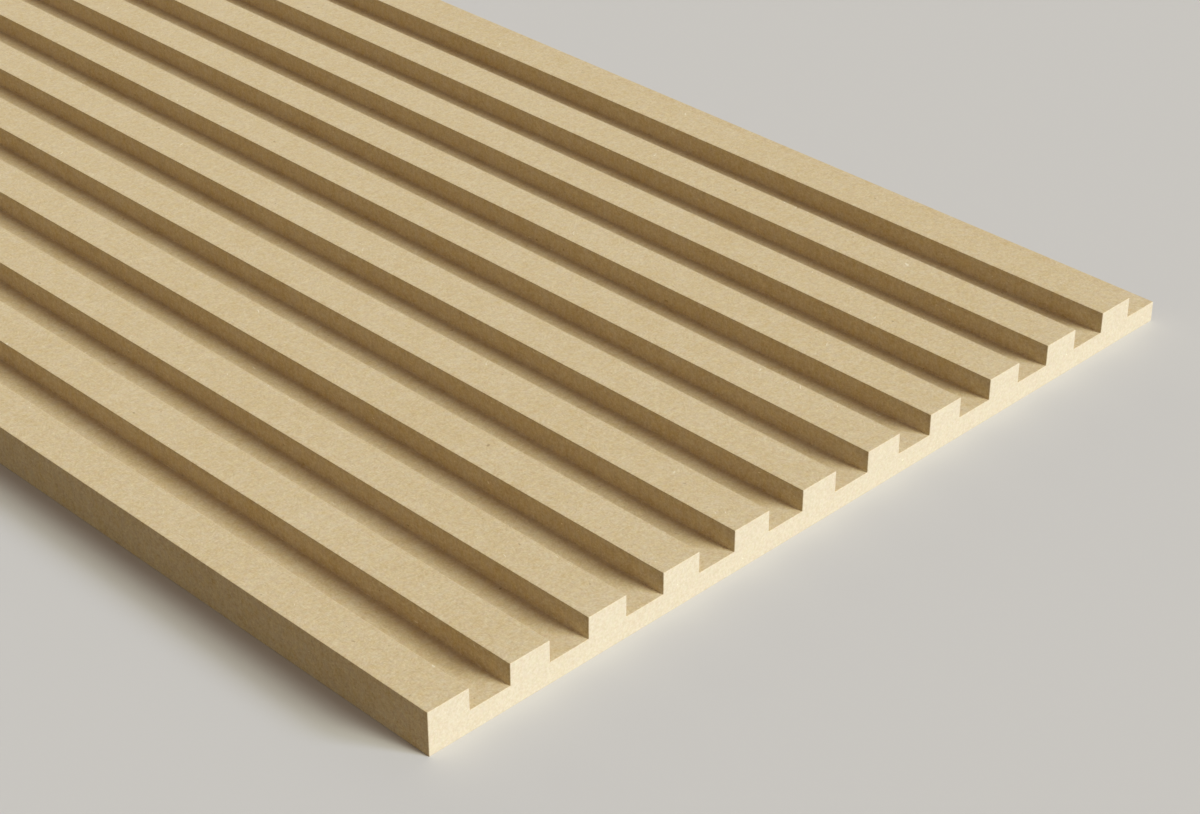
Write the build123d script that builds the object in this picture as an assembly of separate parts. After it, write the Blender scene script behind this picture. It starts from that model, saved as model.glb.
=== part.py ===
from build123d import *
import os

# Grooved wall panel: one sheet of medium density fibreboard with square grooves
# machined along its whole length. It lies on its flat back, with the ribs up.
#
# Frame, in millimetres: the origin is the centre of the back face, X runs across
# the ribs, Y along them and Z out of the back towards the room. The first rib is
# flush with the -X edge and the last groove is open at the +X edge, so that panels
# butted side by side carry the rhythm on without a break.

# Driving dimensions
panel_length = 2440.0
board_thickness = 18.0
rib_count = 11
rib_width = 18.0
groove_width = 18.0
groove_depth = 9.0

# Small edge forms
top_arris = 0.25  # radius sanded on the top edges of the ribs and the rebate's lip
back_arris = 0.3  # radius sanded on the two long edges of the back
cutter_nose = 0.3  # radius that the grooving cutter leaves along a groove's foot
end_arris = 0.15  # flat broken round each sawn end

# Sizes that follow from them
rib_pitch = rib_width + groove_width
panel_width = rib_count * rib_pitch


def blank_section():
    """The board before grooving, as a rectangle standing on the back face."""
    return Pos(0, board_thickness / 2) * Rectangle(panel_width, board_thickness)


def groove_sections():
    """One cutter pass to the right of each rib; the last one leaves the open rebate."""
    first = -panel_width / 2 + rib_width + groove_width / 2
    passes = [
        Pos(first + step * rib_pitch, board_thickness - groove_depth / 2)
        for step in range(rib_count)
    ]
    return [place * Rectangle(groove_width, groove_depth) for place in passes]


def panel_section():
    """The machined profile, drawn with its X across the ribs and its Y as height."""
    section = Sketch() + (blank_section() - groove_sections())
    floor_corners = section.vertices().group_by(Axis.Y)[1].sort_by(Axis.X)
    groove_feet = floor_corners[:-1]
    section = fillet(groove_feet, cutter_nose)
    rib_corners = section.vertices().group_by(Axis.Y)[-1]
    lip_corner = section.vertices().group_by(Axis.X)[-1].sort_by(Axis.Y)[-1]
    section = fillet(rib_corners + [lip_corner], top_arris)
    back_corners = section.vertices().group_by(Axis.Y)[0]
    return fillet(back_corners, back_arris)


def grooved_panel():
    """The profile run along the whole length, with its two sawn ends lightly broken."""
    body = extrude(Plane.XZ * panel_section(), panel_length / 2, both=True)
    ends = body.faces().filter_by(Axis.Y)
    return chamfer(ends.edges(), end_arris)


os.makedirs("parts", exist_ok=True)
export_step(grooved_panel(), "parts/grooved_panel.step")
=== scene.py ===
import math

import bpy
from mathutils import Euler, Matrix, Vector


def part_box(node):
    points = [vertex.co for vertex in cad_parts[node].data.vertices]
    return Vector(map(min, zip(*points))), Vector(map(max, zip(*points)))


# A grooved wall panel of raw fibreboard, dressed and lit. Lengths are in metres, in the
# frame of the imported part: X across the ribs, Y along them and Z out of the back.

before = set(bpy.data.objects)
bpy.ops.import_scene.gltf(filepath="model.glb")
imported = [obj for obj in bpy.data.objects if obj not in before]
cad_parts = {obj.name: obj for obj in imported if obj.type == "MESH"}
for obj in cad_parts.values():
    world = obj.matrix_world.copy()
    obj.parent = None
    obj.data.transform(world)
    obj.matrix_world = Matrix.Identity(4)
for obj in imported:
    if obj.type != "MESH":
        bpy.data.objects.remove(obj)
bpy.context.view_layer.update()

MM = 0.001
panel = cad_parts["grooved_panel"]
panel_low, panel_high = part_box("grooved_panel")
half_width = (panel_high.x - panel_low.x) / 2
half_thickness = (panel_high.z - panel_low.z) / 2

# The camera looks low over the panel's front left corner, and turns from +X towards +Y
sensor_width = 36 * MM
lens = 79.42 * MM
eye_from_corner = Vector((-0.42693, -0.50926, 0.54609))
look_turn = math.radians(45.277)
look_down = math.radians(31.980)
look_roll = math.radians(-0.080)

# Light that comes from everywhere
fill_colour = (0.215, 0.168, 0.157)

# Stage: pale where it is seen, and a darker taupe for the light that it sends back
backdrop_colour = (0.74, 0.73, 0.71)
floor_seen = (0.62, 0.605, 0.58)
floor_bounce = (0.20, 0.16, 0.12)
floor_side = 60.0

# Raw fibreboard
board_colour = (0.640, 0.509, 0.301)
board_specular = 0.3
sanded_roughness = 0.74
cut_roughness = 0.86
roughness_change = 0.15  # how far the grain moves the roughness
relief = 0.05 * MM
line_relief = 0.5  # height of the machining lines, against that of the grain

# Painted light and shade: what each kind of face makes of the board's colour, channel by channel, to
# set how light or dark it renders under these lamps
# Painted shade: the groove walls a little darker, for the shade in the grooves
groove_wall_painted_shade = (0.913, 0.905, 0.905)
# Painted shade: the groove walls darker still towards their top
painted_lip_shade_tint = (0.90, 0.89, 0.89)
# Painted light: the long outer edges lighter and a little bluer
long_edge_painted_light = (1.045, 1.045, 1.085)
# Painted shade: the sawn ends darker and less yellow, against the strong key light that falls on them
sawn_end_painted_shade = (0.76, 0.81, 1.0)

# A face begins to count as looking along an axis where that part of its normal is the first
# value, and counts in full from the second
facing_least = 0.4
facing_full = 0.9

# Depths below the board's outside: the skin goes down to the first, the core starts at the second
skin_depth = 0.5 * MM
core_depth = 1.5 * MM
# How far down from the top the painted shade on the groove walls reaches
painted_lip_shade_depth = 8 * MM

# Noise that several marks share
noise_middle = 0.5
grain_size = 0.9 * MM
grain_detail = 3.0
grain_roughness = 0.65
drift_size = 18 * MM
bend_size = 6 * MM
bend_reach = 5 * MM

# Layers of tone: the size of each, and how far it moves red, green and blue
broad_size = 60 * MM
broad_tone = (0.04, 0.06, 0.11)
drift_tone = (0.06, 0.10, 0.20)
patch_size = 6 * MM
patch_tone = (0.10, 0.16, 0.33)
mottle_size = 2 * MM
mottle_tone = (0.18, 0.29, 0.46)
felt_tone = (0.22, 0.33, 0.46)
grain_tone = (0.45, 0.63, 0.77)
line_tone = (0.06, 0.06, 0.06)

# A layer that goes between brown and pale straw, drawn away from the others
straw_offset = (1.7, 0.4, 0.9)
straw_size = 3 * MM
straw_detail = 3.0
straw_roughness = 0.6
straw_tone = (-0.14, -0.11, 0.14)

# Fine changes of hue, apart in each channel
hue_size = 1.5 * MM
hue_detail = 2.0
hue_tone = (0.07, 0.08, 0.13)

# Felted fibre bundles
felt_patch = 5 * MM
felt_length = 3.2 * MM
felt_width = 0.6 * MM
felt_flattening = 2.5
felt_roughness = 0.6

# Strength on the flat faces, on the long walls and on the sawn ends
layers_by_zone = (0.97, 1.4, 0.12)
grain_by_zone = (0.91, 1.3, 0.84)
specks_by_zone = (0.5, 0.5, 0.08)

# Machining lines: how many times finer than their size they are along X, Y and Z
line_size = 1 * MM
sanding = (3.3, 0.02, 3.3)
ripples = (0.04, 1.2, 0.04)
fuzz = (2.6, 2.6, 2.6)

# Flecks: their colours, how many cells have one, and how their sizes and rims vary
speck_colour = (0.24, 0.13, 0.05)
shive_colour = (0.86, 0.78, 0.60)
pepper_strength = 0.6
shive_strength = 0.7
fleck_share = 0.4
fleck_gathering = 2.0
fleck_smallest = 0.5
fleck_largest = 1.3
fleck_raggedness = 1.5
fleck_full = 0.7
fleck_gone = 1.2


class Graph:
    """Adds nodes to one tree. An input is a number, a tuple or another node's socket."""

    def __init__(self, tree):
        self.tree = tree

    def add(self, kind, inputs=(), **settings):
        """A node of one kind with its settings, and its inputs by name or by place."""
        made = self.tree.nodes.new("ShaderNode" + kind)
        for name, value in settings.items():
            setattr(made, name, value)
        for name, value in dict(inputs).items():
            self.feed(made.inputs[name], value)
        return made

    def feed(self, socket, value):
        """Links another socket to this one, or sets its value."""
        if isinstance(value, bpy.types.NodeSocket):
            self.tree.links.new(value, socket)
        else:
            socket.default_value = value

    def math(self, operation, *values):
        """A sum, product or the like of numbers."""
        return self.add("Math", enumerate(values), operation=operation).outputs[0]

    def vector(self, operation, *values):
        """A sum, product or the like of vectors."""
        return self.add("VectorMath", enumerate(values), operation=operation).outputs[0]

    def length(self, vector):
        """The length of a vector."""
        return self.add("VectorMath", {0: vector}, operation="LENGTH").outputs["Value"]

    def parts(self, vector):
        """The three parts of a vector."""
        return self.add("SeparateXYZ", {0: vector}).outputs

    def spin(self, vector, turns):
        """The vector turned about Z, by half a turn for each 1 of the second input."""
        angle = self.math("MULTIPLY", turns, math.pi)
        made = self.add("VectorRotate", {"Vector": vector, "Angle": angle}, rotation_type="Z_AXIS")
        return made.outputs[0]

    def step(self, value, start, end, low=0.0, high=1.0):
        """Goes smoothly from low to high while the value goes from start to end."""
        limits = {"Value": value, "From Min": start, "From Max": end, "To Min": low, "To Max": high}
        made = self.add("MapRange", limits, interpolation_type="SMOOTHSTEP")
        return made.outputs["Result"]

    def mix(self, share, first, second):
        """A colour that goes from the first to the second with the share."""
        made = self.add("Mix", data_type="RGBA")
        sockets = [s for s in made.inputs if s.enabled]
        for socket, value in zip(sockets, (share, first, second)):
            is_plain_colour = isinstance(value, tuple)
            self.feed(socket, (*value, 1.0) if is_plain_colour else value)
        return next(s for s in made.outputs if s.enabled)

    def cloud(self, place, size, detail=1.0, roughness=0.5):
        """Noise about zero, with features of about the given size."""
        inputs = {"Vector": place, "Scale": 1 / size, "Detail": detail, "Roughness": roughness}
        return self.math("SUBTRACT", self.add("TexNoise", inputs).outputs["Fac"], noise_middle)

    def clouds(self, place, size, detail=1.0):
        """Three separate noises about zero, as the parts of one vector."""
        inputs = {"Vector": place, "Scale": 1 / size, "Detail": detail}
        noises = self.add("TexNoise", inputs).outputs["Color"]
        return self.vector("SUBTRACT", noises, (noise_middle,) * 3)

    def wander(self, place, size, reach):
        """The place pushed about at random, to bend what is drawn there."""
        return self.vector("MULTIPLY_ADD", self.clouds(place, size), (reach,) * 3, place)


class Surface:
    """Where a point of the panel lies, as masks from 0 to 1, and the noise that marks share."""

    def __init__(self, graph):
        spot = graph.add("TexCoord")
        self.place = spot.outputs["Object"]
        x, _, z = graph.parts(self.place)
        facing = graph.vector("ABSOLUTE", spot.outputs["Normal"])
        across, along, up = graph.parts(facing)
        self.wall = graph.step(across, facing_least, facing_full)
        self.sawn = graph.step(along, facing_least, facing_full)
        sideways = graph.math("ABSOLUTE", x)
        inside = graph.step(sideways, half_width - skin_depth, half_width - core_depth)
        off_middle = graph.math("ABSOLUTE", graph.math("SUBTRACT", z, panel_low.z + half_thickness))
        outer = graph.step(off_middle, half_thickness - core_depth, half_thickness - skin_depth)
        self.groove_wall = graph.math("MULTIPLY", self.wall, inside)
        # The upper part of the groove walls, where painted shade goes
        near_top = graph.step(z, panel_high.z - painted_lip_shade_depth, panel_high.z)
        self.painted_lip_shade = graph.math("MULTIPLY", self.groove_wall, near_top)
        self.long_edge = graph.math("SUBTRACT", self.wall, self.groove_wall)
        self.sanded = graph.math("MULTIPLY", graph.step(up, facing_least, facing_full), outer)
        self.cut = graph.math("SUBTRACT", 1.0, self.sanded)
        self.grain = graph.cloud(self.place, grain_size, grain_detail, grain_roughness)
        self.drift = graph.cloud(self.place, drift_size)
        self.bent = graph.wander(self.place, bend_size, bend_reach)

    def by_zone(self, graph, values):
        """One value for the flat faces, one for the long walls and one for the sawn ends."""
        flat, wall, sawn = values
        value = graph.step(self.wall, 0.0, 1.0, flat, wall)
        return graph.step(self.sawn, 0.0, 1.0, value, sawn)


def felted(graph, surface):
    """Fibre bundles that lie flat in the board, each patch of them turned its own way."""
    cells = graph.add("TexVoronoi", {"Vector": surface.bent, "Scale": 1 / felt_patch})
    turned = graph.spin(surface.place, graph.parts(cells.outputs["Color"])[0])
    drawn = graph.vector("MULTIPLY", turned, (felt_width / felt_length, 1.0, felt_flattening))
    return graph.cloud(drawn, felt_width, roughness=felt_roughness)


def flecks(graph, surface, spacing, length, width):
    """Single fibres or specks of several sizes, lying flat, in a share of the cells of a bent grid."""
    cells = graph.add("TexVoronoi", {"Vector": surface.bent, "Scale": 1 / spacing})
    chance, size, turns = graph.parts(cells.outputs["Color"])
    share = graph.math("MULTIPLY_ADD", surface.drift, fleck_gathering, fleck_share)
    there = graph.math("LESS_THAN", chance, share)
    offset = graph.vector("SUBTRACT", surface.bent, cells.outputs["Position"])
    reach = graph.vector("DIVIDE", graph.spin(offset, turns), (length / 2, width / 2, width / 2))
    grown = graph.step(size, 0.0, 1.0, fleck_smallest, fleck_largest)
    distance = graph.math("DIVIDE", graph.length(reach), grown)
    ragged = graph.math("MULTIPLY_ADD", surface.grain, fleck_raggedness, distance)
    return graph.math("MULTIPLY", graph.step(ragged, fleck_gone, fleck_full), there)


def board_tone(graph, surface):
    """How much lighter or darker than the board's colour each point is, channel by channel."""
    place = surface.place
    elsewhere = graph.vector("ADD", place, straw_offset)
    layers = [
        (graph.cloud(place, broad_size), broad_tone),
        (surface.drift, drift_tone),
        (graph.cloud(place, patch_size), patch_tone),
        (graph.cloud(place, mottle_size), mottle_tone),
        (graph.cloud(elsewhere, straw_size, straw_detail, straw_roughness), straw_tone),
        (felted(graph, surface), felt_tone),
    ]
    change = (0.0, 0.0, 0.0)
    for layer, tone in layers:
        change = graph.vector("MULTIPLY_ADD", layer, tone, change)
    change = graph.vector("MULTIPLY", change, surface.by_zone(graph, layers_by_zone))
    grain = graph.math("MULTIPLY", surface.grain, surface.by_zone(graph, grain_by_zone))
    change = graph.vector("MULTIPLY_ADD", grain, grain_tone, change)
    hues = graph.clouds(place, hue_size, hue_detail)
    change = graph.vector("MULTIPLY_ADD", hues, hue_tone, change)
    return graph.vector("ADD", change, (1.0, 1.0, 1.0))


def machining_lines(graph, surface):
    """Sanding lines along the faces, cutter ripples across the grooves, fine fuzz on the ends."""
    stretch = graph.mix(surface.sanded, ripples, sanding)
    stretch = graph.mix(surface.sawn, stretch, fuzz)
    return graph.cloud(graph.vector("MULTIPLY", surface.place, stretch), line_size)


def with_painted_shading(graph, surface, colour):
    """The colour with painted light and shade on each kind of face: darker groove walls, darker still
    near their top, lighter long outer edges, and darker, less yellow sawn ends.
    """
    painted_shadings = [
        (surface.groove_wall, groove_wall_painted_shade),
        (surface.painted_lip_shade, painted_lip_shade_tint),
        (surface.long_edge, long_edge_painted_light),
        (surface.sawn, sawn_end_painted_shade),
    ]
    for where, painted_factor in painted_shadings:
        colour = graph.mix(where, colour, graph.vector("MULTIPLY", colour, painted_factor))
    return colour


def flecked(graph, surface, colour):
    """The colour with dark specks, bits of bark and pale single fibres lying in it."""
    pepper = flecks(graph, surface, spacing=3.2 * MM, length=0.7 * MM, width=0.5 * MM)
    bark = flecks(graph, surface, spacing=7.5 * MM, length=1.3 * MM, width=0.8 * MM)
    shives = flecks(graph, surface, spacing=6.5 * MM, length=2.8 * MM, width=0.5 * MM)
    dark = graph.math("MULTIPLY_ADD", pepper, pepper_strength, bark)
    dark = graph.math("MULTIPLY", dark, surface.by_zone(graph, specks_by_zone))
    colour = graph.mix(dark, colour, speck_colour)
    return graph.mix(graph.math("MULTIPLY", shives, shive_strength), colour, shive_colour)


def fibreboard():
    """Raw fibreboard: sanded faces, and softer, rougher ones where the board was cut."""
    material = bpy.data.materials.new("raw_fibreboard")
    material.use_nodes = True
    graph = Graph(material.node_tree)
    surface = Surface(graph)
    lines = machining_lines(graph, surface)
    tone = graph.vector("MULTIPLY_ADD", lines, line_tone, board_tone(graph, surface))
    colour = graph.vector("MULTIPLY", tone, board_colour)
    # The board's colour with painted light and shade on each kind of face, then the flecks
    colour = flecked(graph, surface, with_painted_shading(graph, surface, colour))

    height = graph.math("MULTIPLY_ADD", lines, line_relief, surface.grain)
    bump = graph.add("Bump", {"Height": height, "Distance": relief, "Strength": 1.0})
    roughness = graph.step(surface.cut, 0.0, 1.0, sanded_roughness, cut_roughness)
    roughness = graph.math("MULTIPLY_ADD", surface.grain, roughness_change, roughness)

    shader = material.node_tree.nodes["Principled BSDF"]
    graph.feed(shader.inputs["Base Color"], colour)
    graph.feed(shader.inputs["Roughness"], roughness)
    graph.feed(shader.inputs["Normal"], bump.outputs["Normal"])
    shader.inputs["Specular IOR Level"].default_value = board_specular
    return material


def dress_panel():
    """Gives the panel its material in every slot that it has."""
    board = fibreboard()
    for slot in panel.material_slots:
        slot.material = board


def add_to_scene(name, data):
    """A new object of the scene that holds this data."""
    made = bpy.data.objects.new(name, data)
    bpy.context.scene.collection.objects.link(made)
    return made


def add_camera():
    """The photograph's camera, placed from the panel's front left bottom corner."""
    data = bpy.data.cameras.new("camera")
    data.sensor_width = sensor_width / MM
    data.lens = lens / MM
    camera = add_to_scene("camera", data)
    camera.location = panel_low + eye_from_corner
    ahead = math.cos(look_down)
    forward = Vector((
        ahead * math.cos(look_turn),
        ahead * math.sin(look_turn),
        -math.sin(look_down),
    ))
    level = forward.to_track_quat("-Z", "Y")
    camera.rotation_mode = "QUATERNION"
    camera.rotation_quaternion = level @ Euler((0, 0, look_roll)).to_quaternion()
    bpy.context.scene.camera = camera


def add_lamp(name, bearing, height, spread, strength, colour):
    """A broad distant lamp. Its bearing turns from the near end's side round to the rebate's side."""
    data = bpy.data.lights.new(name, "SUN")
    data.energy = strength
    data.angle = math.radians(spread)
    data.color = colour
    lamp = add_to_scene(name, data)
    across = math.cos(math.radians(height)) * math.sin(math.radians(bearing))
    along = -math.cos(math.radians(height)) * math.cos(math.radians(bearing))
    towards = Vector((across, along, math.sin(math.radians(height))))
    lamp.rotation_mode = "QUATERNION"
    lamp.rotation_quaternion = towards.to_track_quat("Z", "Y")


def add_lamps():
    """A wide key in three lamps, cooler towards the side, and two low fills. Angles in degrees."""
    add_lamp("front_key", bearing=12, height=22, spread=18, strength=2.88, colour=(1.0, 1.0, 0.86))
    add_lamp("middle_key", bearing=18, height=20, spread=18, strength=1.77, colour=(0.88, 1.0, 0.95))
    add_lamp("side_key", bearing=30, height=24.5, spread=12, strength=1.84, colour=(0.655, 0.725, 1.0))
    add_lamp("side_fill", bearing=-79, height=15, spread=40, strength=0.31, colour=(1.0, 0.97, 0.54))
    add_lamp("back_fill", bearing=153, height=3, spread=40, strength=0.70, colour=(1.0, 0.99, 0.80))


def seen(graph):
    """1 for rays from the camera, and for those that show in gloss or through glass."""
    path = graph.add("LightPath").outputs
    seen_or_mirrored = graph.math("MAXIMUM", path["Is Camera Ray"], path["Is Glossy Ray"])
    return graph.math("MAXIMUM", seen_or_mirrored, path["Is Transmission Ray"])


def add_world():
    """A low warm fill, which is seen as a pale backdrop."""
    world = bpy.data.worlds.new("world")
    world.use_nodes = True
    bpy.context.scene.world = world
    graph = Graph(world.node_tree)
    background = world.node_tree.nodes["Background"]
    graph.feed(background.inputs["Color"], graph.mix(seen(graph), fill_colour, backdrop_colour))


def add_floor():
    """A wide plain floor under the panel."""
    side = floor_side / 2
    corners = [(-side, -side, 0), (side, -side, 0), (side, side, 0), (-side, side, 0)]
    mesh = bpy.data.meshes.new("floor")
    mesh.from_pydata(corners, [], [(0, 1, 2, 3)])
    floor = add_to_scene("floor", mesh)
    floor.matrix_world = Matrix.Translation((0, 0, panel_low.z))
    material = bpy.data.materials.new("floor")
    material.use_nodes = True
    material.node_tree.nodes.clear()
    graph = Graph(material.node_tree)
    matte = graph.add("BsdfDiffuse", {"Color": graph.mix(seen(graph), floor_bounce, floor_seen)})
    graph.add("OutputMaterial", {"Surface": matte.outputs[0]})
    mesh.materials.append(material)


bpy.context.scene.view_settings.view_transform = "Standard"
dress_panel()
add_camera()
add_lamps()
add_world()
add_floor()
